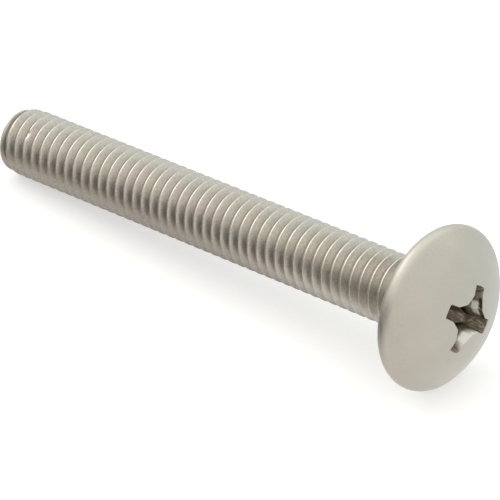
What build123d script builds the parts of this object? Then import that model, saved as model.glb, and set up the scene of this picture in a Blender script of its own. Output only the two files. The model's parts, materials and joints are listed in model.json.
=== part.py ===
from build123d import *
from math import asin, atan2, degrees, hypot, radians, sqrt, tan
import os

# A fully threaded machine screw: low domed head, cross recess, metric thread.
# All sizes are in millimetres and degrees. The screw is drawn upright on its own axis,
# with the underside of the head at Z = 0, the head above it and the shank below, and is
# then laid down on its rim and tip, which is how it comes to rest. The shank is drawn over
# the crests of its thread, and the neck at the size of the wire that the thread was rolled on.

# Head
head_diameter = 13.7
head_height = 4.25
rim_round = 0.93
underside_fillet = 0.4

# Shank
length = 46.2
major_diameter = 5.85
pitch = 1.0
neck_length = 1.0
tip_chamfer_length = 0.5
tip_chamfer_angle = 45.0

# Cross recess
recess_span = 5.6
recess_depth = 3.2
wing_width = 1.26
wing_side_draft = 5.75
wing_end_draft = 26.5
corner_cut = 1.25
corner_angle = 146.0
pit_angle = 28.0
recess_turn_angle = 51.0

# Height that the cutting solids stand above the crown
cutter_overlap = 0.1

# Share of the pitch by which a metric thread's pitch diameter is under its major diameter
pitch_diameter_drop = 0.6495

# Sizes that follow from the ones above
head_radius = head_diameter / 2
rim_centre_radius = head_radius - rim_round
major_radius = major_diameter / 2
neck_radius = major_radius - pitch_diameter_drop * pitch / 2
dome_radius = (rim_centre_radius**2 + (head_height - rim_round) ** 2 - rim_round**2) / (
    2 * (head_height - 2 * rim_round)
)


def head():
    """Low domed head: flat underside, round rim, and a dome that leaves the rim smoothly."""
    rim_centre = Vector(rim_centre_radius, rim_round)
    dome_centre = Vector(0, head_height - dome_radius)
    rim_top = rim_centre + (rim_centre - dome_centre).normalized() * rim_round
    with BuildSketch(Plane.XZ) as section:
        with BuildLine():
            underside = Line((0, 0), (rim_centre_radius, 0))
            TangentArc(underside @ 1, rim_top, tangent=(1, 0))
            RadiusArc(rim_top, (0, head_height), -dome_radius)
            Line((0, head_height), (0, 0))
        make_face()
    return revolve(section.sketch, Axis.Z)


def shank():
    """Shank over the thread's crests, with the chamfered tip and the thinner neck."""
    tip_radius = major_radius - tip_chamfer_length * tan(radians(tip_chamfer_angle))
    shoulder = major_radius - neck_radius
    with BuildSketch(Plane.XZ) as section:
        with BuildLine():
            Polyline(
                (0, -length),
                (tip_radius, -length),
                (major_radius, tip_chamfer_length - length),
                (major_radius, -neck_length - shoulder),
                (neck_radius, -neck_length),
                (neck_radius, 0),
                (0, 0),
                close=True,
            )
        make_face()
    return revolve(section.sketch, Axis.Z)


def fillet_neck(body):
    """Round the corner where the neck meets the underside of the head."""
    corner = (
        body.edges()
        .filter_by(GeomType.CIRCLE)
        .filter_by(lambda edge: abs(edge.radius - neck_radius) < 1e-6)
        .sort_by(Axis.Z)[-1]
    )
    return fillet(corner, underside_fillet)


def recess_outline():
    """Cross seen from above: four wings, with two flats in each corner between them."""
    half = wing_width / 2 + cutter_overlap * tan(radians(wing_side_draft))
    flat_slope = tan(radians(45 - (180 - corner_angle) / 2))
    inset = corner_cut * flat_slope / (1 + flat_slope)
    quarter = [
        (recess_span, -half),
        (recess_span, half),
        (half + corner_cut, half),
        (half + inset, half + inset),
        (half, half + corner_cut),
    ]
    outline = [
        Vector(*point).rotate(Axis.Z, 90 * wing) for wing in range(4) for point in quarter
    ]
    return Face(Wire.make_polygon(outline))


def recess_cone():
    """Cone that the wing ends lie on, closed below by the blunt cone of the pit."""
    mouth_radius = recess_span / 2
    mouth = head_height - dome_radius + sqrt(dome_radius**2 - mouth_radius**2)
    floor = head_height - recess_depth
    top = head_height + cutter_overlap
    end_slope = tan(radians(wing_end_draft))
    pit_slope = tan(radians(pit_angle))
    foot_radius = (mouth_radius - (mouth - floor) * end_slope) / (1 - pit_slope * end_slope)
    with BuildSketch(Plane.XZ) as section:
        with BuildLine():
            Polyline(
                (0, floor),
                (foot_radius, floor + foot_radius * pit_slope),
                (mouth_radius + (top - mouth) * end_slope, top),
                (0, top),
                close=True,
            )
        make_face()
    return revolve(section.sketch, Axis.Z)


def recess():
    """Cross recess: a cross with drafted sides, held inside the recess cone."""
    top = Pos(0, 0, head_height + cutter_overlap)
    cross = extrude(
        top * recess_outline(),
        amount=recess_depth + 2 * cutter_overlap,
        dir=(0, 0, -1),
        taper=wing_side_draft,
    )
    return Rot(0, 0, recess_turn_angle) * (cross & recess_cone())


def screw():
    """The whole screw as one solid, upright on its own axis."""
    return fillet_neck(head() + shank()) - recess()


def laid_down(body):
    """The screw as it rests on a flat surface, on the rim of its head and its tip."""
    along = length - tip_chamfer_length + rim_round
    drop = rim_centre_radius - major_radius
    lean = degrees(atan2(drop, along) + asin(rim_round / hypot(along, drop)))
    lying = Rot(0, 90 - lean, 0) * body
    box = lying.bounding_box()
    return Pos(-box.center().X, -box.center().Y, -box.min.Z) * lying


if __name__ == "__main__":
    os.makedirs("parts", exist_ok=True)
    part = laid_down(screw())
    part.label = "screw"
    export_step(part, "parts/screw.step")
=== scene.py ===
"""Dresses a packed machine screw: rolled thread, cross recess and satin stainless finish.

The screw is one piece of steel, so one dressed mesh stands for its solid. The mesh is drawn in
the screw's own frame, in millimetres, with the underside of the head at Z = 0 and the head above
it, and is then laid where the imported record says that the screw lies.
"""

import json
import logging
from dataclasses import dataclass
from enum import Enum
from math import atan2, cos, hypot, pi, radians, sin, sqrt, tan
from typing import Callable, Optional, Union

import bmesh
import bpy
from mathutils import Matrix, Vector


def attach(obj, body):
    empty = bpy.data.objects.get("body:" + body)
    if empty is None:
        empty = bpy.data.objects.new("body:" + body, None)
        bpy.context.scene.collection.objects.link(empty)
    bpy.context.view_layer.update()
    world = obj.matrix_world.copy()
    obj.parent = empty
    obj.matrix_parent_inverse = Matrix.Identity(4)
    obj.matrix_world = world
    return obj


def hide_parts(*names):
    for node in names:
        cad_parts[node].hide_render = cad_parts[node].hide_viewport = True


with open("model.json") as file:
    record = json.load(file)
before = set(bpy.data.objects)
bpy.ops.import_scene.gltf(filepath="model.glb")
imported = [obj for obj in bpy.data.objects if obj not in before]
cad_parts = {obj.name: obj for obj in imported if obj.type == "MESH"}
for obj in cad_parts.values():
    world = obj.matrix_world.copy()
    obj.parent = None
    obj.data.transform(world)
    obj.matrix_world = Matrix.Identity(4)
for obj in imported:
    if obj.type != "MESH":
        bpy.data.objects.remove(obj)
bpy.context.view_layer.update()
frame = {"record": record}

log = logging.getLogger("screw")

MM = 0.001
NODE = "screw"
BODY = "root"
PHOTO_SIDE = 500
SENSOR_WIDTH = 36.0
NOISE_MIDDLE = 0.5

Value = Union["Signal", float, int, tuple, bpy.types.NodeSocket]
Place = tuple[float, float]
Point = tuple[float, float, float]
Ring = list[Point]
Span = tuple[float, float]
Colour = tuple[float, float, float, float]

# Tints of the surroundings that the steel mirrors
WHITE: Colour = (1.0, 1.0, 1.0, 1.0)
WARM: Colour = (1.02, 0.99, 0.955, 1.0)
COOL: Colour = (0.97, 1.0, 1.02, 1.0)
GREEN: Colour = (0.97, 1.0, 0.96, 1.0)
BROWN: Colour = (1.03, 0.94, 0.83, 1.0)


class Op(Enum):
    """Math node operations that the trees here use."""

    ADD = "ADD"
    SUBTRACT = "SUBTRACT"
    MULTIPLY = "MULTIPLY"
    DIVIDE = "DIVIDE"
    POWER = "POWER"
    SINE = "SINE"
    COSINE = "COSINE"
    SQRT = "SQRT"
    ABSOLUTE = "ABSOLUTE"
    MINIMUM = "MINIMUM"
    MAXIMUM = "MAXIMUM"
    SMOOTH_MIN = "SMOOTH_MIN"
    SMOOTH_MAX = "SMOOTH_MAX"
    PINGPONG = "PINGPONG"


@dataclass(frozen=True, eq=False)
class Signal:
    """A socket's value in a node tree, on which arithmetic adds Math nodes."""

    board: "Board"
    socket: bpy.types.NodeSocket

    def math(self, op: Op, *others: Value) -> "Signal":
        """Adds one Math node.

        Args:
            op: The operation.
            others: The values that follow this one in the node's sockets.

        Returns:
            The node's result.
        """
        inputs = dict(enumerate((self, *others)))
        return self.board.node("ShaderNodeMath", {"operation": op.value}, inputs)

    def __add__(self, other: Value) -> "Signal":
        """Sum."""
        return self.math(Op.ADD, other)

    __radd__ = __add__

    def __sub__(self, other: Value) -> "Signal":
        """Difference."""
        return self.math(Op.SUBTRACT, other)

    def __rsub__(self, other: Value) -> "Signal":
        """Difference, with this value taken away."""
        return self * -1.0 + other

    def __mul__(self, other: Value) -> "Signal":
        """Product."""
        return self.math(Op.MULTIPLY, other)

    __rmul__ = __mul__

    def __truediv__(self, other: Value) -> "Signal":
        """Quotient."""
        return self.math(Op.DIVIDE, other)

    def __rtruediv__(self, other: Value) -> "Signal":
        """Quotient, with this value below."""
        return self.math(Op.POWER, -1.0) * other

    def __pow__(self, other: Value) -> "Signal":
        """Power."""
        return self.math(Op.POWER, other)

    def step(self, start: Value, end: Value) -> "Signal":
        """Smooth step from 0 where this value is start to 1 where it is end."""
        settings = {"interpolation_type": "SMOOTHSTEP"}
        return self.board.node("ShaderNodeMapRange", settings, {0: self, 1: start, 2: end, 3: 0.0, 4: 1.0})


class Board:
    """A node tree under construction."""

    # Where the Mix node has its sockets for colours
    FACTOR, COLOUR_A, COLOUR_B, COLOUR_RESULT = 0, 6, 7, 2

    def __init__(self, tree: bpy.types.NodeTree) -> None:
        """Starts on an empty tree.

        Args:
            tree: The shader or geometry tree.
        """
        self.tree = tree

    def raw(
        self, kind: str, settings: Optional[dict] = None, inputs: Optional[dict] = None
    ) -> bpy.types.Node:
        """Adds any node.

        Args:
            kind: The node's type.
            settings: Values of the node's own settings, which are set first.
            inputs: Values or links of its sockets, by index or by name.

        Returns:
            The node.
        """
        node = self.tree.nodes.new(kind)
        for name, value in (settings or {}).items():
            setattr(node, name, value)
        for key, value in (inputs or {}).items():
            if isinstance(value, Signal):
                value = value.socket
            if isinstance(value, bpy.types.NodeSocket):
                self.tree.links.new(value, node.inputs[key])
            else:
                node.inputs[key].default_value = value
        return node

    def node(
        self,
        kind: str,
        settings: Optional[dict] = None,
        inputs: Optional[dict] = None,
        output: Union[int, str] = 0,
    ) -> Signal:
        """Adds any node and gives one of its results.

        Args:
            kind: The node's type.
            settings: Values of the node's own settings, which are set first.
            inputs: Values or links of its sockets, by index or by name.
            output: The result's index or name.

        Returns:
            That result.
        """
        return Signal(self, self.raw(kind, settings, inputs).outputs[output])

    def axes(self, place: Value) -> tuple[Signal, ...]:
        """The three numbers of a place."""
        split = self.raw("ShaderNodeSeparateXYZ", {}, {0: place})
        return tuple(Signal(self, output) for output in split.outputs)

    def bent(self, value: Value, points: list[Place]) -> Signal:
        """Carries a value over straight lines between points.

        Args:
            value: The value, from 0 to 1.
            points: Value and result at each point, in order.

        Returns:
            The result.
        """
        node = self.raw("ShaderNodeFloatCurve", {}, {"Value": value})
        curve = node.mapping.curves[0]
        for point, at in zip(curve.points, (points[0], points[-1])):
            point.location = at
        for at in points[1:-1]:
            curve.points.new(*at)
        for point in curve.points:
            point.handle_type = "VECTOR"
        node.mapping.update()
        return Signal(self, node.outputs[0])

    def mix(self, factor: Value, low: Value, high: Value) -> Signal:
        """Mixes two colours.

        Args:
            factor: 0 gives the first colour and 1 the second.
            low: The first colour.
            high: The second colour.

        Returns:
            The mixed colour.
        """
        inputs = {self.FACTOR: factor, self.COLOUR_A: low, self.COLOUR_B: high}
        return self.node("ShaderNodeMix", {"data_type": "RGBA"}, inputs, self.COLOUR_RESULT)


@dataclass(frozen=True)
class Lie:
    """Where the screw lies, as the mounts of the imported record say."""

    crown: Vector
    axis: Vector
    head_height: float

    @classmethod
    def of_record(cls, record: dict, head_height: float) -> "Lie":
        """Reads the crown and the axis from the driver recess's mount.

        Args:
            record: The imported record.
            head_height: Height of the head, in millimetres.

        Returns:
            The screw's lie.
        """
        mount = next(m for m in record["mounts"] if m["name"] == "driver_recess")
        return cls(Vector(mount["pos_m"]), Vector(mount["axis"]).normalized(), head_height)

    def matrix(self) -> Matrix:
        """Works out how the screw's own frame lies in the row frame.

        Returns:
            Transform from the screw's own frame, in millimetres, to the row frame, in metres.
        """
        side = Vector((0.0, 1.0, 0.0))
        turned = Matrix((side.cross(self.axis), side, self.axis)).transposed().to_4x4()
        turned.translation = self.crown - self.axis * self.head_height * MM
        return turned @ Matrix.Scale(MM, 4)


@dataclass(frozen=True)
class Corner:
    """A corner of an outline, softened over a short length each way."""

    at: Place
    into: Place
    out: Place
    soft: float

    def point(self, part: float) -> Place:
        """Finds a point of the softened corner.

        Args:
            part: 0 where the corner starts, to 1 where it ends.

        Returns:
            The point's place.
        """
        before = (1 - part) ** 2 * self.soft
        after = part**2 * self.soft
        x = self.at[0] - self.into[0] * before + self.out[0] * after
        y = self.at[1] - self.into[1] * before + self.out[1] * after
        return x, y


def between(a: Place, b: Place, part: float) -> Place:
    """Point on the way from a to b."""
    return a[0] + (b[0] - a[0]) * part, a[1] + (b[1] - a[1]) * part


def shifted(span: Span, by: float) -> Span:
    """Span moved by an amount."""
    return span[0] + by, span[1] + by


def along_and_across(x: Signal, y: Signal, angle: float) -> tuple[Signal, Signal]:
    """How far a place is along and across a direction that is turned from X."""
    return x * cos(angle) + y * sin(angle), y * cos(angle) - x * sin(angle)


def bend(a: Point, b: Point, c: Point, part: float) -> Point:
    """Point of the curve that leaves a towards b and reaches c from b."""
    weights = ((1 - part) ** 2, 2 * part * (1 - part), part**2)
    return tuple(sum(w * p[i] for w, p in zip(weights, (a, b, c))) for i in range(3))


@dataclass(frozen=True)
class Dome:
    """Head's crown, rim and underside, in millimetres."""

    diameter: float = 13.7
    height: float = 4.25
    rim_round: float = 0.93
    neck_fillet: float = 0.4

    @property
    def rim_centre(self) -> float:
        """Radius of the circle that the rim's round is centred on."""
        return self.diameter / 2 - self.rim_round

    @property
    def radius(self) -> float:
        """Radius of the dome that leaves the rim's round smoothly."""
        rise = self.height - self.rim_round
        return (self.rim_centre**2 + rise**2 - self.rim_round**2) / (2 * (rise - self.rim_round))

    def surface(self, x: float, y: float) -> float:
        """Height of the dome over a place."""
        return self.height - self.radius + sqrt(self.radius**2 - x**2 - y**2)

    def rim_start(self) -> float:
        """Angle above the horizontal at which the rim's round meets the dome."""
        rise = self.rim_round - (self.height - self.radius)
        return pi / 2 - Vector((rise, self.rim_centre)).angle(Vector((1.0, 0.0)))


@dataclass(frozen=True)
class Recess:
    """Cross recess: four wings with drafted sides, ends on a cone, and a blunt pit below."""

    dome: Dome
    span: float = 5.6
    depth: float = 3.2
    wing_width: float = 1.26
    side_draft: float = 5.75
    end_draft: float = 26.5
    corner_cut: float = 1.25
    corner_angle: float = 146.0
    pit_angle: float = 28.0
    cutter_rise: float = 0.1
    wing_corner_soft: float = 0.07
    flat_edge_soft: float = 0.03
    flat_meet_soft: float = 0.06
    mouth_soft: float = 0.06
    foot_soft: float = 0.06
    floor_parts: tuple = (0.2, 0.45, 0.7, 0.88)
    bend_parts: tuple = (0.0, 0.33, 0.67, 1.0)
    side_parts: tuple = (0.2, 0.4, 0.6, 0.8)
    lines: int = 13
    solving_rounds: int = 40

    def eighth(self, height: float, grow: float = 0.0) -> list[Place]:
        """Outline at a height, from the middle of a wing's end to the next diagonal.

        Args:
            height: Height of the level.
            grow: How far the outline is moved outwards.

        Returns:
            Thirteen places, with the wing along X. Twelve steps make an eighth of the outline.
        """
        mouth_radius = self.span / 2
        mouth_height = self.dome.surface(mouth_radius, 0.0)
        half_top = self.wing_width / 2 + self.cutter_rise * tan(radians(self.side_draft))
        shrink = (self.dome.height + self.cutter_rise - height) * tan(radians(self.side_draft)) - grow
        half = half_top - shrink
        end_radius = mouth_radius - (mouth_height - height) * tan(radians(self.end_draft)) + grow
        end = sqrt(end_radius**2 - half**2)
        flat = radians(45.0 - (180.0 - self.corner_angle) / 2)
        edge = half_top + self.corner_cut - shrink * tan(flat / 2)
        reach = sin(flat) * (half_top + self.corner_cut) + cos(flat) * half_top - shrink
        meet = reach / (sin(flat) + cos(flat))
        soft = half / half_top
        inward = (-1.0, 0.0)
        along_flat = (-cos(flat), sin(flat))
        past_meet = (-sin(flat), cos(flat))
        round_end = (-half / end_radius, end / end_radius)
        wing = Corner((end, half), round_end, inward, self.wing_corner_soft * soft)
        brink = Corner((edge, half), inward, along_flat, self.flat_edge_soft * soft)
        fold = Corner((meet, meet), along_flat, past_meet, self.flat_meet_soft * soft)
        tip = (end_radius, 0.0)
        lip = wing.point(0.0)
        bulge = hypot(*between(tip, lip, 0.5))
        curved = tuple(c * end_radius / bulge for c in between(tip, lip, 0.5))
        return [
            tip,
            curved,
            lip,
            wing.point(0.33),
            wing.point(0.67),
            wing.point(1.0),
            between(wing.point(1.0), brink.point(0.0), 0.5),
            brink.point(0.0),
            brink.point(1.0),
            between(brink.point(1.0), fold.point(0.0), 0.5),
            fold.point(0.0),
            fold.point(0.25),
            fold.point(0.5),
        ]

    def floor(self, x: float, y: float) -> float:
        """Height of the pit under a place."""
        return self.dome.height - self.depth + hypot(x, y) * tan(radians(self.pit_angle))

    def meeting(self, index: int, surface: Callable[[float, float], float]) -> float:
        """Height at which one line of the wall meets the dome or the pit.

        Args:
            index: Which of the eighth's places the line runs through.
            surface: Gives a height over a place.

        Returns:
            The height.
        """
        height = self.dome.height - self.depth / 2
        for _ in range(self.solving_rounds):
            height = surface(*self.eighth(height)[index])
        return height

    def all_round(self, line: Callable[[int], Point]) -> Ring:
        """Repeats an eighth of a ring, turned and mirrored, round the axis.

        Args:
            line: Gives the point for each of the eighth's thirteen places.

        Returns:
            The whole ring.
        """
        points = [line(index) for index in range(self.lines)]
        quarter = points + [(y, x, z) for x, y, z in reversed(points[1:-1])]
        ring = []
        for c, s in ((1, 0), (0, 1), (-1, 0), (0, -1)):
            ring += [(c * x - s * y, s * x + c * y, z) for x, y, z in quarter]
        return ring

    def rings(self) -> list[Ring]:
        """Makes the rings from the middle of the pit up the walls to the lip on the dome.

        Returns:
            The rings, in order.
        """
        tops = [self.meeting(i, self.dome.surface) for i in range(self.lines)]
        feet = [self.meeting(i, self.floor) for i in range(self.lines)]

        def wall(i: int, height: float) -> Point:
            """Point of a line of the wall, at a height."""
            return (*self.eighth(height)[i], height)

        def on_floor(i: int, part: float) -> Point:
            """Point of the pit, on the way from its middle to the wall's foot."""
            x, y = self.eighth(feet[i], -self.foot_soft)[i]
            return x * part, y * part, self.floor(x * part, y * part)

        def foot(i: int, part: float) -> Point:
            """Point of the softened corner between the pit and the wall."""
            return bend(on_floor(i, 1.0), wall(i, feet[i]), wall(i, feet[i] + self.foot_soft), part)

        def side(i: int, part: float) -> Point:
            """Point of the wall, on the way from its foot to the mouth."""
            low, high = feet[i] + self.foot_soft, tops[i] - self.mouth_soft
            return wall(i, low + (high - low) * part)

        def lip(i: int, part: float) -> Point:
            """Finds a point of the softened edge between the wall and the dome.

            Args:
                i: Which line of the wall.
                part: 0 on the wall, to 1 on the dome.

            Returns:
                The point.
            """
            x, y = self.eighth(tops[i], self.mouth_soft)[i]
            outside = (x, y, self.dome.surface(x, y))
            return bend(wall(i, tops[i] - self.mouth_soft), wall(i, tops[i]), outside, part)

        stretches = (
            (on_floor, self.floor_parts),
            (foot, self.bend_parts),
            (side, self.side_parts),
            (lip, self.bend_parts),
        )
        return [self.all_round(lambda i: point(i, part)) for point, parts in stretches for part in parts]


@dataclass(frozen=True)
class Thread:
    """Rolled metric thread over the shank, in millimetres."""

    length: float = 46.2
    major_diameter: float = 5.85
    pitch: float = 1.0
    crest_flat: float = 0.115
    thread_angle: float = 60.0
    root_radius: float = 2.32
    crest_soft: float = 0.015
    root_soft: float = 0.05
    neck_length: float = 1.0
    neck_radius: float = 2.60019
    runout: float = 1.2
    tip_chamfer: float = 0.5
    first_crest: float = 1.54
    tip_wear: float = 0.14
    tip_wear_turns: Span = (1.7, 0.3)
    nick_angle: float = radians(170.0)
    nick_height: float = -43.03
    nick_depth: float = 0.16
    nick_round: Span = (0.45, 0.15)
    nick_along: Span = (0.4, 0.2)
    chamfer_soft: float = 0.04
    flank_rows: tuple = (0.25, 0.5, 0.75)
    root_row: float = 0.015
    groove_row: float = 0.02
    turns_above: float = 2.0
    spare_turns: int = 3
    flat_merge: float = 0.002
    round_merge: float = 0.0005
    columns: int = 96

    @property
    def major_radius(self) -> float:
        """Radius over the crests."""
        return self.major_diameter / 2

    @property
    def tip_radius(self) -> float:
        """Radius of the flat end inside the tip's chamfer."""
        return self.major_radius - self.tip_chamfer

    @property
    def flank_slope(self) -> float:
        """Rise of a flank for each step along the axis."""
        return 1 / tan(radians(self.thread_angle / 2))

    def row_places(self) -> list[float]:
        """Places the sheet's rows, close together where the form bends.

        Returns:
            The rows' places from one crest to the next, in parts of a pitch.
        """
        middle = 0.5
        crest, soft = self.crest_flat / 2 / self.pitch, self.crest_soft / self.pitch
        root = crest + (self.major_radius - self.root_radius) / self.flank_slope / self.pitch
        foot, top = root - self.root_soft / self.pitch, crest + soft
        flank = [top + (foot - top) * part for part in self.flank_rows]
        groove = (root + middle) / 2 - self.groove_row
        half = [0.0, crest - soft, crest, top, *flank, foot, root - self.root_row, groove, middle]
        return half + [1.0 - place for place in reversed(half[:-1])]

    def inputs(self) -> dict[str, float]:
        """Gathers the sizes that the thread's tree takes.

        Returns:
            The sizes, by the names of the tree's inputs.
        """
        return {
            "Length": self.length,
            "Pitch": self.pitch,
            "Major Radius": self.major_radius,
            "Root Radius": self.root_radius,
            "Crest Flat": self.crest_flat,
            "Flank Slope": self.flank_slope,
            "Crest Softness": self.crest_soft * self.flank_slope,
            "Root Softness": self.root_soft * self.flank_slope,
            "Neck Length": self.neck_length,
            "Neck Radius": self.neck_radius,
            "Runout": self.runout,
            "Tip Radius": self.tip_radius,
            "First Crest": self.first_crest,
            "Tip Wear": self.tip_wear,
            "Nick Angle": self.nick_angle,
            "Nick Height": self.nick_height,
            "Nick Depth": self.nick_depth,
        }

    def tree(self, material: bpy.types.Material) -> bpy.types.NodeTree:
        """Builds the tree: one turn is repeated along the axis, wrapped round it and trimmed.

        Args:
            material: The finish of the thread. Not used here.

        Returns:
            The geometry tree.
        """
        tree = bpy.data.node_groups.new("rolled_thread", "GeometryNodeTree")
        for name in self.inputs():
            tree.interface.new_socket(name=name, in_out="INPUT", socket_type="NodeSocketFloat")
        tree.interface.new_socket(name="Material", in_out="INPUT", socket_type="NodeSocketMaterial")
        tree.interface.new_socket(name="Geometry", in_out="OUTPUT", socket_type="NodeSocketGeometry")
        board = Board(tree)
        given = board.raw("NodeGroupInput")
        size = {name: Signal(board, given.outputs[name]) for name in self.inputs()}
        turns = int(self.length / self.pitch) + self.spare_turns
        rows = len(self.row_places())
        grid = {"Size X": 2 * pi, "Size Y": size["Pitch"], "Vertices X": self.columns + 1, "Vertices Y": rows}
        flat_turn = board.node("GeometryNodeMeshGrid", {}, grid)
        turn = self._sheared(board, flat_turn, size)
        step = board.node("ShaderNodeCombineXYZ", {}, {1: size["Pitch"] * -1.0})
        top = size["Pitch"] * self.turns_above - size["First Crest"]
        start = board.node("ShaderNodeCombineXYZ", {}, {1: top})
        row = {"Count": turns, "Start Location": start, "Offset": step}
        line = board.node("GeometryNodeMeshLine", {}, row)
        copies = board.node("GeometryNodeInstanceOnPoints", {}, {"Points": line, "Instance": turn})
        sheet = board.node("GeometryNodeRealizeInstances", {}, {0: copies})
        flat = {"Geometry": sheet, "Distance": self.flat_merge}
        joined = board.node("GeometryNodeMergeByDistance", {}, flat)
        wrapped = self._wrapped(board, joined, size)
        seam = {"Geometry": wrapped, "Distance": self.round_merge}
        closed = board.node("GeometryNodeMergeByDistance", {}, seam)
        real = board.node("GeometryNodeRealizeInstances", {}, {0: closed})
        painted = board.node(
            "GeometryNodeSetMaterial", {}, {"Geometry": real, "Material": given.outputs["Material"]}
        )
        board.raw("NodeGroupOutput", {}, {0: painted})
        return tree

    def _sheared(self, board: Board, flat_turn: Signal, size: dict[str, Signal]) -> Signal:
        """Makes a flat sheet climb one pitch over one turn, with its rows where the form bends.

        Args:
            board: The thread's tree.
            flat_turn: A sheet with a turn along X and a pitch along Y.
            size: The tree's inputs.

        Returns:
            The sheet, with its crest at its lower and upper edge.
        """
        across, along, _ = board.axes(board.node("GeometryNodeInputPosition"))
        phase = along / size["Pitch"] + 0.5
        places = self.row_places()
        gathered = board.bent(phase, [(i / (len(places) - 1), place) for i, place in enumerate(places)])
        turned = across + pi
        climb = turned / (2 * pi)
        height = (gathered + climb) * size["Pitch"]
        moved = board.node("ShaderNodeCombineXYZ", {}, {0: turned, 1: height})
        return board.node("GeometryNodeSetPosition", {}, {"Geometry": flat_turn, "Position": moved})

    def _wrapped(self, board: Board, sheet: Signal, size: dict[str, Signal]) -> Signal:
        """Wraps the flat sheet round the axis, with the thread's form, and trims both ends.

        Args:
            board: The thread's tree.
            sheet: The sheet, with the angle along X and the height along Y.
            size: The tree's inputs.

        Returns:
            The threaded shank, open at its ends.
        """
        angle, loose, _ = board.axes(board.node("GeometryNodeInputPosition"))
        below_neck = loose.math(Op.MINIMUM, size["Neck Length"] * -1.0)
        height = below_neck.math(Op.MAXIMUM, size["Length"] * -1.0)
        climbed = height + size["First Crest"] - angle / (2 * pi) * size["Pitch"]
        from_crest = climbed.math(Op.PINGPONG, size["Pitch"] / 2.0)
        beside_nick = ((angle - size["Nick Angle"]) * size["Major Radius"]).math(Op.ABSOLUTE)
        above_nick = (height - size["Nick Height"]).math(Op.ABSOLUTE)
        nicked = beside_nick.step(*self.nick_round) * above_nick.step(*self.nick_along)
        wear_start, wear_end = (size["Pitch"] * turns for turns in self.tip_wear_turns)
        worn = (height + size["Length"]).step(wear_start, wear_end)
        reach = size["Major Radius"] - worn * size["Tip Wear"] - nicked * size["Nick Depth"]
        flank = size["Major Radius"] - (from_crest - size["Crest Flat"] / 2.0) * size["Flank Slope"]
        crested = flank.math(Op.SMOOTH_MIN, reach, size["Crest Softness"])
        form = crested.math(Op.SMOOTH_MAX, size["Root Radius"], size["Root Softness"])
        rolled = (size["Neck Length"] * -1.0 - height).step(0.0, size["Runout"])
        faded = size["Neck Radius"] + (form - size["Neck Radius"]) * rolled
        chamfer = height + size["Length"] + size["Tip Radius"]
        radius = faded.math(Op.SMOOTH_MIN, chamfer, self.chamfer_soft)
        wound = {0: radius * angle.math(Op.COSINE), 1: radius * angle.math(Op.SINE), 2: height}
        round_place = board.node("ShaderNodeCombineXYZ", {}, wound)
        return board.node("GeometryNodeSetPosition", {}, {"Geometry": sheet, "Position": round_place})

    def mesh(self, material: bpy.types.Material) -> bpy.types.Mesh:
        """Evaluates the tree.

        Args:
            material: The finish of the thread.

        Returns:
            The threaded shank as a plain mesh, open at the neck and at the tip.
        """
        tree = self.tree(material)
        host = bpy.data.objects.new("thread_host", bpy.data.meshes.new("thread_host"))
        bpy.context.scene.collection.objects.link(host)
        modifier = host.modifiers.new("thread", "NODES")
        modifier.node_group = tree
        values = {**self.inputs(), "Material": material}
        for item in tree.interface.items_tree:
            if item.in_out == "INPUT":
                modifier[item.identifier] = values[item.name]
        evaluated = host.evaluated_get(bpy.context.evaluated_depsgraph_get())
        result = bpy.data.meshes.new_from_object(evaluated)
        bpy.data.objects.remove(host)
        return result


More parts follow.
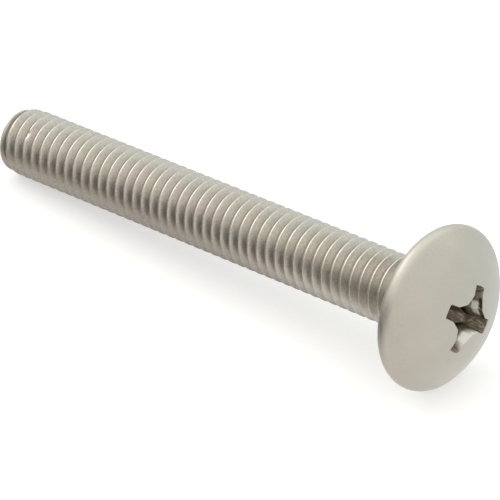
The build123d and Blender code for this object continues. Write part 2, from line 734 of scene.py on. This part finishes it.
@dataclass(frozen=True)
class Screw:
    """The whole screw: head, recess, neck, thread and tip as one closed mesh."""

    dome: Dome
    recess: Recess
    thread: Thread
    turn: float = 51.0
    sharp_angle: float = 40.0
    dome_parts: tuple = (0.05, 0.13, 0.24, 0.36, 0.5, 0.64, 0.77, 0.89, 1.0)
    rim_steps: int = 16
    underside_parts: tuple = (0.35, 0.7, 1.0)
    fillet_steps: int = 6
    tip_parts: tuple = (0.33, 0.66, 1.0)
    seam_merge: float = 0.0006
    sliver_length: float = 0.0001

    def level(self, radius: float, height: float) -> Ring:
        """Makes a level circle with one point for each column of the thread.

        Args:
            radius: Its radius.
            height: Its height.

        Returns:
            The circle, as a ring of points.
        """
        count = self.thread.columns
        angles = [2 * pi * i / count for i in range(count)]
        return [(radius * cos(a), radius * sin(a), height) for a in angles]

    def head_rings(self) -> list[Ring]:
        """Makes the rings from the middle of the recess over the dome and the rim to the neck.

        Returns:
            The rings, in order.
        """
        dome, thread = self.dome, self.thread
        rings = self.recess.rings()
        lip = rings[-1]
        start = dome.rim_start()
        edge = self.level(dome.rim_centre + dome.rim_round * cos(start), 0.0)
        for part in self.dome_parts:
            ring = [between(a[:2], b[:2], part) for a, b in zip(lip, edge)]
            rings.append([(x, y, dome.surface(x, y)) for x, y in ring])
        for step in range(1, self.rim_steps + 1):
            angle = start - (start + pi / 2) * step / self.rim_steps
            radius = dome.rim_centre + dome.rim_round * cos(angle)
            rings.append(self.level(radius, dome.rim_round * (1 + sin(angle))))
        inner = thread.neck_radius + dome.neck_fillet
        for part in self.underside_parts:
            rings.append(self.level(dome.rim_centre + (inner - dome.rim_centre) * part, 0.0))
        for step in range(1, self.fillet_steps + 1):
            angle = pi / 2 * step / self.fillet_steps
            radius = inner - dome.neck_fillet * sin(angle)
            rings.append(self.level(radius, -dome.neck_fillet * (1 - cos(angle))))
        rings.append(self.level(thread.neck_radius, -thread.neck_length))
        return rings

    def tip_rings(self, whole: bmesh.types.BMesh) -> list[Ring]:
        """Makes the rings of the flat end, outwards to the edge where the thread runs out.

        Args:
            whole: The threaded shank, open at its ends.

        Returns:
            The rings, in order.
        """
        edge = [v.co for v in whole.verts if v.is_boundary and v.co.z < -self.thread.length / 2]
        edge.sort(key=lambda place: atan2(place.y, place.x))
        return [[(p.x * part, p.y * part, p.z) for p in edge] for part in self.tip_parts]

    def mesh(self, material: bpy.types.Material) -> bpy.types.Mesh:
        """Joins the threaded shank, the head and the flat end into one closed mesh.

        Args:
            material: The finish.

        Returns:
            The mesh in the screw's own frame, in millimetres.
        """
        shank = self.thread.mesh(material)
        whole = bmesh.new()
        whole.from_mesh(shank)
        end = self.tip_rings(whole)
        self._skin(whole, self.head_rings(), (0.0, 0.0, self.recess.floor(0.0, 0.0)))
        self._skin(whole, end, (0.0, 0.0, -self.thread.length))
        bmesh.ops.remove_doubles(whole, verts=whole.verts, dist=self.seam_merge)
        bmesh.ops.dissolve_degenerate(whole, edges=whole.edges, dist=self.sliver_length)
        bmesh.ops.recalc_face_normals(whole, faces=whole.faces)
        open_edges = sum(1 for e in whole.edges if len(e.link_faces) != 2)
        if open_edges:
            log.warning("the mesh has %d edges without two faces", open_edges)
        bmesh.ops.rotate(whole, verts=whole.verts, matrix=Matrix.Rotation(radians(self.turn), 3, "Z"))
        for face in whole.faces:
            face.smooth = True
            face.material_index = 0
        whole.to_mesh(shank)
        whole.free()
        shank.materials.clear()
        shank.materials.append(material)
        return shank

    def _skin(self, whole: bmesh.types.BMesh, rings: list[Ring], middle: Point) -> None:
        """Adds the faces between rings, and a fan from the first ring to its middle.

        Args:
            whole: The mesh that is added to.
            rings: Rings of as many points each.
            middle: The point inside the first ring.
        """
        rows = [[whole.verts.new(point) for point in ring] for ring in rings]
        centre = whole.verts.new(middle)
        count = len(rows[0])
        for i in range(count):
            whole.faces.new((centre, rows[0][i], rows[0][(i + 1) % count]))
        for inner, outer in zip(rows, rows[1:]):
            for i in range(count):
                j = (i + 1) % count
                whole.faces.new((inner[i], outer[i], outer[j], inner[j]))

    def build(self, lie: Lie, material: bpy.types.Material) -> bpy.types.Object:
        """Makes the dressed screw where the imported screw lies.

        Args:
            lie: Where the screw lies.
            material: The finish.

        Returns:
            The object, at the origin.
        """
        mesh = self.mesh(material)
        mesh.name = "threaded_screw"
        mesh.transform(lie.matrix())
        mesh.set_sharp_from_angle(angle=radians(self.sharp_angle))
        piece = bpy.data.objects.new("threaded_screw", mesh)
        bpy.context.scene.collection.objects.link(piece)
        log.info("screw: %d vertices, %d faces", len(mesh.vertices), len(mesh.polygons))
        return piece


@dataclass(frozen=True)
class Noise:
    """Even noise, for grain, clouds and streaks."""

    scale: float
    detail: float
    roughness: float = 0.5

    def over(self, place: Signal) -> Signal:
        """Noise over a place, from 0 to 1."""
        inputs = {"Vector": place, "Scale": self.scale, "Detail": self.detail, "Roughness": self.roughness}
        return place.board.node("ShaderNodeTexNoise", {}, inputs)


@dataclass(frozen=True)
class PunchedFinishAndShade:
    """Finish inside the driver recess: burnished side walls, wing ends and pit in streaked painted shade,
    painted shadow bands, and painted light on the ends of the cross wings.

    Spans are in millimetres and say where a mask starts and where it is full.
    """

    punched: Colour = (0.69, 0.665, 0.61, 1.0)
    # Painted shade on the wing ends and the pit, plain and in streaks
    end_shade: Colour = (0.096, 0.079, 0.057, 1.0)
    end_shade_streak: Colour = (0.275, 0.232, 0.184, 1.0)
    # Painted light on the ends of the two wings that cross the long ones
    cross_end_light: Colour = (0.56, 0.505, 0.43, 1.0)
    # Painted shadow, for the long wings' upper side and for the band under one wing's mouth
    dark: Colour = (0.045, 0.034, 0.018, 1.0)
    streaks: Noise = Noise(1.0, 6.0, 0.6)
    streak_size: Point = (0.8, 0.2, 0.5)

    # Where the recess, its wing ends and its pit are
    under_dome: Span = (-0.02, -0.12)
    within: Span = (3.1, 3.0)
    above_neck: Span = (0.3, 0.6)
    end_wall: Span = (-0.34, -0.12)
    pit_wall: Span = (0.3, 0.1)
    deep: Span = (2.7, 2.1)

    # Shade over the two long wings and the pit
    shade_across: Span = (0.15, 0.42)
    shade_along: Span = (2.1, 1.3)
    shade_slope: float = 0.6
    shade_level: float = 0.32
    pit_shade: Span = (1.4, 0.7)
    pit_shade_level: float = 0.45
    streak_fade: Span = (0.4, 0.64)

    # Painted light on the ends of the two wings that cross them, in streaks and stronger on one wing
    cross_reach: Span = (0.6, 1.0)
    cross_light_fade: Span = (0.35, 0.7)
    cross_light_level: float = 0.8
    cross_light_side: Span = (-0.5, -1.5)
    cross_light_side_level: float = 0.55

    # Painted shade: a dark band under the mouth of one wing
    brink_height: Span = (3.60, 3.72)
    brink_side: Span = (0.45, 0.65)
    brink_along: Span = (0.25, 0.45)
    brink_end: Span = (2.3, 1.7)
    brink_streak: Span = (0.3, 0.45)
    brink_level: float = 0.9

    # Corners between the wings that the punch rounded outwards
    corner_turn: float = 45.0
    low_corner: Span = (0.82, 0.94)
    low_height: Span = (2.8, 3.5)
    low_lean: float = 0.7
    high_corner: Span = (0.90, 0.96)
    high_foot: Span = (2.9, 3.1)
    high_top: Span = (3.85, 3.7)
    high_lean: float = 0.36
    end_shade_lean: float = 0.8

    def tone(
        self, board: Board, place: Signal, axes: tuple, radius: Signal, screw: Screw
    ) -> tuple[Signal, Signal, Signal]:
        """Works out the finish inside the recess, with its painted shade and light.

        Args:
            board: The shader's tree.
            place: Place in the screw's own frame, in millimetres.
            axes: The same place as three numbers.
            radius: Distance from the screw's axis.
            screw: The screw.

        Returns:
            How far a place is inside the recess, its colour there, and how far the punch
            has rounded it outwards.
        """
        x, y, z = axes
        recess, dome, turn = screw.recess, screw.dome, radians(screw.turn)
        from_centre = (x * x + y * y + (z - (dome.height - dome.radius)) ** 2.0).math(Op.SQRT)
        under = from_centre.step(*shifted(self.under_dome, dome.radius))
        inside = under * radius.step(*self.within) * z.step(*self.above_neck)
        mouth = recess.span / 2
        cone = (z - dome.surface(mouth, 0.0)) * tan(radians(recess.end_draft)) + mouth
        on_end = (radius - cone).step(*self.end_wall)
        pit = z - radius * tan(radians(recess.pit_angle)) - (dome.height - recess.depth)
        low_down = on_end.math(Op.MAXIMUM, pit.step(*self.pit_wall))
        # The wing ends, the pit and the deepest walls take the painted shade
        in_end_shade = low_down.math(Op.MAXIMUM, z.step(*self.deep))
        laid = {"Vector": place, "Rotation": (0.0, 0.0, turn), "Scale": self.streak_size}
        streak = self.streaks.over(board.node("ShaderNodeMapping", {"vector_type": "TEXTURE"}, laid))
        along, across = along_and_across(x, y, turn)
        end_shade = self._end_shade(board, streak, along, across)
        # Painted shade under one wing's mouth, broken up by the streaks
        band = z.step(*self.brink_height) * across.step(*self.brink_side)
        brink = band * along.step(*self.brink_along) * across.step(*self.brink_end)
        brink_shade = brink * streak.step(*self.brink_streak) * self.brink_level
        walls = board.mix(brink_shade, self.punched, self.dark)
        diagonal = radians(screw.turn - self.corner_turn)
        low, high = (side / radius for side in along_and_across(x, y, diagonal))
        corner = low.step(*self.low_corner) * z.step(*self.low_height) * self.low_lean
        flat = z.step(*self.high_foot) * z.step(*self.high_top)
        other = high.step(*self.high_corner) * flat * self.high_lean
        burnish = (corner + other) * inside * (1.0 - in_end_shade * self.end_shade_lean)
        return inside, board.mix(in_end_shade, walls, end_shade), burnish

    def _end_shade(self, board: Board, streak: Signal, along: Signal, across: Signal) -> Signal:
        """Colours the wing ends and the pit with streaked painted shade, with a painted shadow on the long
        wings' upper side and painted light on the cross wings' ends.

        Args:
            board: The shader's tree.
            streak: The streaks, from 0 to 1.
            along: Place along the two long wings.
            across: Place across them.

        Returns:
            The colour.
        """
        # Painted shadow on the long wings' upper side, and painted shade darker towards one of the long wings
        slope = along.step(*self.shade_along) * self.shade_slope + self.shade_level
        near = along.step(*self.pit_shade) * self.pit_shade_level
        shaded = across.step(*self.shade_across) * slope + near
        streaked = board.mix(streak.step(*self.streak_fade), self.end_shade, self.end_shade_streak)
        long_wings = board.mix(shaded, streaked, self.dark)
        # Painted light on the cross wings' ends, in streaks and over all of one wing
        beside = across.step(*self.cross_light_side) * self.cross_light_side_level
        cross_light = streak.step(*self.cross_light_fade) * self.cross_light_level + beside
        cross_wings = board.mix(cross_light, self.end_shade_streak, self.cross_end_light)
        return board.mix(across.math(Op.ABSOLUTE).step(*self.cross_reach), long_wings, cross_wings)


@dataclass(frozen=True)
class SatinStainless:
    """Satin stainless steel: polished crests, rougher grooves darkened with painted shade, a flecked rim, and
    a recess with painted shade and light.
    """

    steel: Colour = (0.522, 0.500, 0.442, 1.0)
    rolled: Colour = (0.576, 0.536, 0.491, 1.0)
    rolled_green: Colour = (0.556, 0.536, 0.482, 1.0)
    # Painted shade for the thread's grooves, darkest at the root
    groove: Colour = (0.19, 0.165, 0.135, 1.0)
    recess: PunchedFinishAndShade = PunchedFinishAndShade()
    grain: Noise = Noise(5.5, 5.0, 0.7)
    cloud: Noise = Noise(0.45, 2.0)

    # Where the shank, its end, its grooves and the rim are, in millimetres
    shank_start: Span = (-0.3, -0.9)
    side_start: Span = (0.02, 0.06)
    tip_reach: Span = (1.0, 0.5)
    tip_groove: Span = (0.26, 0.14)
    groove_floor: Span = (0.12, 0.02)
    rim_reach: Span = (-0.6, 0.3)

    # Colour
    green_patches: Span = (0.42, 0.58)
    groove_shade_share: float = 0.6
    fleck: float = 0.12
    shank_fleck: float = 0.8
    rim_fleck: float = 0.2
    cloud_fleck: float = 0.10

    # Roughness and bump
    roughness: float = 0.33
    groove_roughness: float = 0.1
    recess_roughness: float = 0.08
    rim_roughness: float = 0.08
    grain_roughness: float = 0.12
    rim_grain_roughness: float = 0.2
    bump: float = 0.05
    shank_bump: float = 0.3
    rim_bump: float = 0.08
    bump_distance: float = 0.00002

    def material(self, lie: Lie, screw: Screw) -> bpy.types.Material:
        """Builds the shader.

        Args:
            lie: Where the screw lies, which centres the patterns on it.
            screw: The screw, whose sizes the patterns follow.

        Returns:
            The material.
        """
        material = bpy.data.materials.new("satin_stainless")
        material.use_nodes = True
        material.node_tree.nodes.clear()
        board = Board(material.node_tree)
        place = self._own_place(board, lie)
        x, y, z = board.axes(place)
        radius = (x * x + y * y).math(Op.SQRT)
        root, end = screw.thread.root_radius, -screw.thread.length
        on_shank = z.step(*self.shank_start)
        on_side = on_shank * z.step(*shifted(self.side_start, end))
        at_tip = radius.step(*shifted(self.tip_groove, root)) * z.step(*shifted(self.tip_reach, end))
        # Painted shade in the grooves: darkest at the root, and reaching higher over the last turns by the
        # tip
        depth = radius.step(*shifted(self.groove_floor, root)).math(Op.MAXIMUM, at_tip) * on_side
        grain, cloud = self.grain.over(place), self.cloud.over(place)
        uneven = grain - NOISE_MIDDLE
        on_rim = radius.step(*shifted(self.rim_reach, screw.dome.rim_centre))
        flecked = self.fleck + on_shank * self.shank_fleck + on_rim * self.rim_fleck
        fleck = uneven * flecked + (cloud - NOISE_MIDDLE) * self.cloud_fleck
        rolled = board.mix(cloud.step(*self.green_patches), self.rolled, self.rolled_green)
        clean = board.mix(depth * self.groove_shade_share, board.mix(on_shank, self.steel, rolled), self.groove)
        scaled = board.node("ShaderNodeVectorMath", {"operation": "SCALE"}, {0: clean, "Scale": fleck + 1.0})
        inside, recess_finish_and_shade, burnish = self.recess.tone(board, place, (x, y, z), radius, screw)
        worn = self.roughness + depth * self.groove_roughness + inside * self.recess_roughness
        grained = uneven * (self.grain_roughness + on_rim * self.rim_grain_roughness)
        bump = board.node("ShaderNodeBump", {}, {
            "Strength": on_shank * self.shank_bump + on_rim * self.rim_bump + self.bump,
            "Distance": self.bump_distance,
            "Height": grain,
        })
        lean = board.node("ShaderNodeVectorMath", {"operation": "SCALE"}, {0: lie.axis, "Scale": burnish})
        leaning = board.node("ShaderNodeVectorMath", {}, {0: bump, 1: lean})
        shader = board.node("ShaderNodeBsdfPrincipled", {}, {
            "Base Color": board.mix(inside, scaled, recess_finish_and_shade),
            "Metallic": 1.0,
            "Roughness": worn + on_rim * self.rim_roughness + grained,
            "Normal": board.node("ShaderNodeVectorMath", {"operation": "NORMALIZE"}, {0: leaning}),
        })
        board.raw("ShaderNodeOutputMaterial", {}, {0: shader})
        return material

    def _own_place(self, board: Board, lie: Lie) -> Signal:
        """Finds where a place of the piece is on the screw.

        Args:
            board: The shader's tree.
            lie: Where the screw lies.

        Returns:
            The place in the screw's own frame, in millimetres.
        """
        matrix = lie.matrix()
        inputs = {
            "Vector": board.node("ShaderNodeTexCoord", {}, {}, "Object"),
            "Location": matrix.to_translation(),
            "Rotation": matrix.to_euler(),
            "Scale": (MM,) * 3,
        }
        return board.node("ShaderNodeMapping", {"vector_type": "TEXTURE"}, inputs)


@dataclass(frozen=True)
class Floor:
    """White floor that keeps the screw's shadow, with darker zones for the steel to mirror, among them a
    painted shadow under the shank.

    Spans are in metres and say where a zone starts and where it is full.
    """

    side: float = 3.0
    paint: Colour = (0.62, 0.62, 0.62, 1.0)
    camera_glow: float = 0.45
    tint_span: Span = (-0.01, 0.02)

    # Dark zone in front of the screw
    dark_back: Span = (0.008, -0.02)
    dark_front: Span = (-0.09, -0.03)
    dark_right: Span = (0.024, 0.002)
    dark_drop: float = 0.88

    # Painted shadow of the shank on the floor, seen only in reflections
    under_front: Span = (-0.004, 0.0)
    under_back: Span = (0.018, 0.010)
    under_right: Span = (0.0235, 0.0175)
    under_shadow_drop: float = 0.40

    # Zone further in front
    far_front: Span = (-0.022, -0.04)
    far_drop: float = 0.11

    def build(self) -> None:
        """Makes the floor."""
        bpy.ops.mesh.primitive_plane_add(size=self.side)
        floor = bpy.context.object
        floor.name = "floor"
        floor.data.materials.append(self._material())
        log.info("floor: %.1f m square", self.side)

    def _material(self) -> bpy.types.Material:
        """Builds the shader, in which only glossy rays meet the darker zones.

        Returns:
            The material.
        """
        material = bpy.data.materials.new("white_floor")
        material.use_nodes = True
        material.node_tree.nodes.clear()
        board = Board(material.node_tree)
        path = board.raw("ShaderNodeLightPath")
        x, y, _ = board.axes(board.node("ShaderNodeTexCoord", {}, {}, "Object"))
        dark = y.step(*self.dark_back) * y.step(*self.dark_front) * x.step(*self.dark_right)
        # Painted shadow under the shank, which only glossy rays meet
        under = y.step(*self.under_front) * y.step(*self.under_back) * x.step(*self.under_right)
        far = y.step(*self.far_front)
        camera = Signal(board, path.outputs["Is Camera Ray"])
        matt = board.node("ShaderNodeBsdfDiffuse", {}, {"Color": self.paint})
        glow = {"Color": WHITE, "Strength": camera * self.camera_glow}
        white = board.node("ShaderNodeEmission", {}, glow)
        near_tint = board.mix(y.step(*self.tint_span), WARM, COOL)
        tint = board.mix(dark, board.mix(far, near_tint, GREEN), BROWN)
        level = 1.0 - dark * self.dark_drop - under * self.under_shadow_drop - far * self.far_drop
        mirrored = board.node("ShaderNodeEmission", {}, {"Color": tint, "Strength": level})
        plain = board.node("ShaderNodeAddShader", {}, {0: matt, 1: white})
        rays = {0: path.outputs["Is Glossy Ray"], 1: plain, 2: mirrored}
        board.raw("ShaderNodeOutputMaterial", {}, {0: board.node("ShaderNodeMixShader", {}, rays)})
        return material


@dataclass(frozen=True)
class LightTent:
    """World that is white to the camera, and elsewhere brighter above and dark low in front."""

    front: Point = (-0.25, -0.97, 0.0)
    front_reach: Span = (0.68, 0.97)
    front_height: Span = (0.5, 0.0)
    front_drop: float = 0.97
    above_height: Span = (0.35, 0.65)
    above_gain: float = 0.42
    right_reach: Span = (-0.1, 0.35)
    right_drop: float = 0.85
    tint_span: Span = (-0.4, 0.6)

    def build(self) -> None:
        """Makes the world."""
        world = bpy.data.worlds.new("light_tent")
        world.use_nodes = True
        world.node_tree.nodes.clear()
        board = Board(world.node_tree)
        toward = board.node("ShaderNodeTexCoord", {}, {}, "Generated")
        x, y, up = board.axes(toward)
        ahead = {0: toward, 1: Vector(self.front).normalized()}
        facing = board.node("ShaderNodeVectorMath", {"operation": "DOT_PRODUCT"}, ahead, "Value")
        opening = facing.step(*self.front_reach) * up.step(*self.front_height)
        above = up.step(*self.above_height) * (1.0 - x.step(*self.right_reach) * self.right_drop)
        level = 1.0 + above * self.above_gain - opening * self.front_drop
        camera = Signal(board, board.raw("ShaderNodeLightPath").outputs["Is Camera Ray"])
        tint = board.mix(y.step(*self.tint_span), WARM, GREEN)
        light = board.node("ShaderNodeBackground", {}, {
            "Color": board.mix(camera, tint, WHITE), "Strength": level + camera * (1.0 - level)
        })
        board.raw("ShaderNodeOutputWorld", {}, {0: light})
        bpy.context.scene.world = world
        log.info("world: %s", world.name)


@dataclass(frozen=True)
class Lamp:
    """Square area lamp that faces the screw, with its side in metres and its power in watts."""

    name: str
    at: Point
    side: float
    power: float

    def build(self) -> None:
        """Makes the lamp."""
        data = bpy.data.lights.new(self.name, "AREA")
        data.size = self.side
        data.energy = self.power
        lamp = bpy.data.objects.new(self.name, data)
        lamp.location = self.at
        lamp.rotation_euler = Vector(self.at).to_track_quat("Z", "Y").to_euler()
        bpy.context.scene.collection.objects.link(lamp)
        log.info("lamp: %s, %.2f m, %.3f W", self.name, self.side, self.power)


@dataclass(frozen=True)
class Studio:
    """Pale floor, white surroundings and soft lamps."""

    floor: Floor = Floor()
    tent: LightTent = LightTent()
    lamps: tuple[Lamp, ...] = (
        Lamp("soft_left", (-0.385, -0.075, 0.31), 0.32, 0.35),
        Lamp("small_back", (0.24, 0.355, 0.26), 0.05, 0.010),
    )

    def build(self) -> None:
        """Makes the floor, the world and the lamps."""
        for part in (self.floor, self.tent, *self.lamps):
            part.build()


@dataclass(frozen=True)
class Viewpoint:
    """The photograph's viewing angle, towards the middle of the head's underside."""

    elevation: float = 33.07
    azimuth: float = 47.17
    distance: float = 0.30647
    focal_pixels: float = 3911.0
    head_pixel: Place = (429.75, 303.71)
    middle_pixel: float = 249.5
    clip: Span = (0.01, 20.0)

    def toward_camera(self) -> Vector:
        """Unit vector from the screw to the camera."""
        high, round_z = radians(self.elevation), radians(self.azimuth)
        return Vector((cos(high) * cos(round_z), -cos(high) * sin(round_z), sin(high)))

    def build(self, lie: Lie) -> None:
        """Makes the camera.

        Args:
            lie: Where the screw lies.
        """
        back = self.toward_camera()
        right = Vector((0.0, 0.0, 1.0)).cross(back).normalized()
        up = back.cross(right)
        per_pixel = self.distance / self.focal_pixels
        head = lie.matrix().to_translation()
        across = (self.head_pixel[0] - self.middle_pixel) * per_pixel
        down = (self.head_pixel[1] - self.middle_pixel) * per_pixel
        data = bpy.data.cameras.new("camera")
        data.sensor_width = SENSOR_WIDTH
        data.lens = self.focal_pixels / PHOTO_SIDE * SENSOR_WIDTH
        data.clip_start, data.clip_end = self.clip
        camera = bpy.data.objects.new("camera", data)
        bpy.context.scene.collection.objects.link(camera)
        place = head - right * across + up * down + back * self.distance
        camera.matrix_world = Matrix.Translation(place) @ Matrix((right, up, back)).transposed().to_4x4()
        bpy.context.scene.camera = camera
        log.info("camera: %.0f mm from the screw", self.distance / MM)


def main() -> None:
    logging.basicConfig(level=logging.INFO, format="%(name)s: %(message)s")
    dome = Dome()
    screw = Screw(dome, Recess(dome), Thread())
    lie = Lie.of_record(frame["record"], dome.height)
    view = Viewpoint()
    view.build(lie)
    steel = SatinStainless().material(lie, screw)
    piece = screw.build(lie, steel)
    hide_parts(NODE)
    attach(piece, BODY)
    Studio().build()
    bpy.context.scene.view_settings.view_transform = "Standard"


if __name__ == "__main__":
    main()
